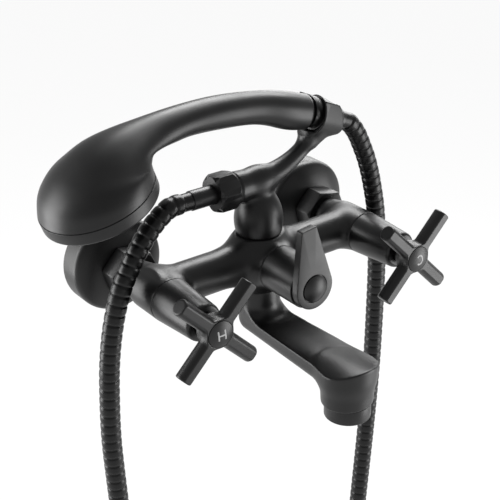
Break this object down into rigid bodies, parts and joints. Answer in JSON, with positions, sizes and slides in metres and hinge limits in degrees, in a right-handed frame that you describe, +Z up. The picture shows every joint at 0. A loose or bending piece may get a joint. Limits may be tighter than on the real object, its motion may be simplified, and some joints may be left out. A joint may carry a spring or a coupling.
{
  "type": "bath shower mixer",
  "caption": "Wall-mounted bath mixer with cross handles, a diverter lever, a short spout and a hand shower that rests on a cradle with its hanging hose.",
  "frame": {"origin": "on the wall plane, midway between the two inlet axes", "axes": "+X to the cold side, on the right when facing the wall; +Y into the wall; +Z up"},
  "size_m": [0.2508, 0.1758, 0.5922],
  "materials": {
    "black_metal": "satin black coat on cast brass",
    "black_shell": "satin black coat on moulded plastic",
    "black_plate": "matt black moulded plastic",
    "nozzle_rubber": "dark grey silicone",
    "hose": "glossy black ribbed skin",
    "hose_metal": "satin black coat on turned brass",
    "brass": "turned",
    "rubber": "moulded",
    "ceramic": null,
    "steel": "stainless",
    "grey_plastic": "moulded"
  },
  "bodies": {
    "mixer": {"hot_wall_connector": "brass", "hot_wall_flange": "black_metal", "hot_union_nut": "black_metal", "hot_inlet_washer": "rubber", "hot_seat_seal": "rubber", "hot_fixed_disc": "ceramic", "hot_valve_body": "brass", "hot_bonnet": "black_metal", "cold_wall_connector": "brass", "cold_wall_flange": "black_metal", "cold_union_nut": "black_metal", "cold_inlet_washer": "rubber", "cold_seat_seal": "rubber", "cold_fixed_disc": "ceramic", "cold_valve_body": "brass", "cold_bonnet": "black_metal", "mixer_body": "black_metal", "diverter_seal": "rubber", "diverter_cartridge": "brass", "diverter_sleeve": "black_metal", "cradle": "black_metal", "cradle_nipple": "brass", "cradle_seal": "rubber", "outlet_washer": "rubber", "outlet_hose_nut": "hose_metal", "outlet_hose_ferrule": "hose_metal", "shower_hose": "hose", "spout": "black_metal", "spout_nipple": "brass", "spout_seal": "rubber", "spout_screw": "steel", "aerator_washer": "rubber", "aerator_ring": "black_metal", "aerator_insert": "grey_plastic"},
    "hot_handle": {"hot_handle": "black_metal", "hot_handle_screw": "steel", "hot_index_cap": "black_metal", "hot_spindle": "brass", "hot_moving_disc": "ceramic"},
    "cold_handle": {"cold_handle": "black_metal", "cold_handle_screw": "steel", "cold_index_cap": "black_metal", "cold_spindle": "brass", "cold_moving_disc": "ceramic"},
    "diverter_lever": {"diverter_lever": "black_metal", "lever_button": "black_metal", "lever_screw": "steel", "diverter_spindle": "brass", "diverter_rotor": "ceramic"},
    "hand_shower": {"handset_shell": "black_shell", "head_ring": "black_shell", "spray_plate": "black_plate", "spray_nozzles": "nozzle_rubber", "handset_collar": "black_shell", "handset_connector": "brass", "handset_washer": "rubber", "handset_hose_nut": "hose_metal", "handset_hose_ferrule": "hose_metal"}
  },
  "joints": [
    {"name": "hot_turn", "type": "hinge", "parent": "mixer", "child": "hot_handle", "pos_m": [-0.075, -0.118, 0], "axis": [0, -1, 0], "range_deg": [0, 90]},
    {"name": "cold_turn", "type": "hinge", "parent": "mixer", "child": "cold_handle", "pos_m": [0.075, -0.118, 0], "axis": [0, 1, 0], "range_deg": [0, 90]},
    {"name": "lever_turn", "type": "hinge", "parent": "mixer", "child": "diverter_lever", "pos_m": [0, -0.11, 0], "axis": [0, 1, 0], "range_deg": [0, 90]},
    {"name": "hand_shower_lift", "type": "slide", "parent": "mixer", "child": "hand_shower", "axis": [0, 0, 1], "range_m": [0, 0.1]}
  ]
}
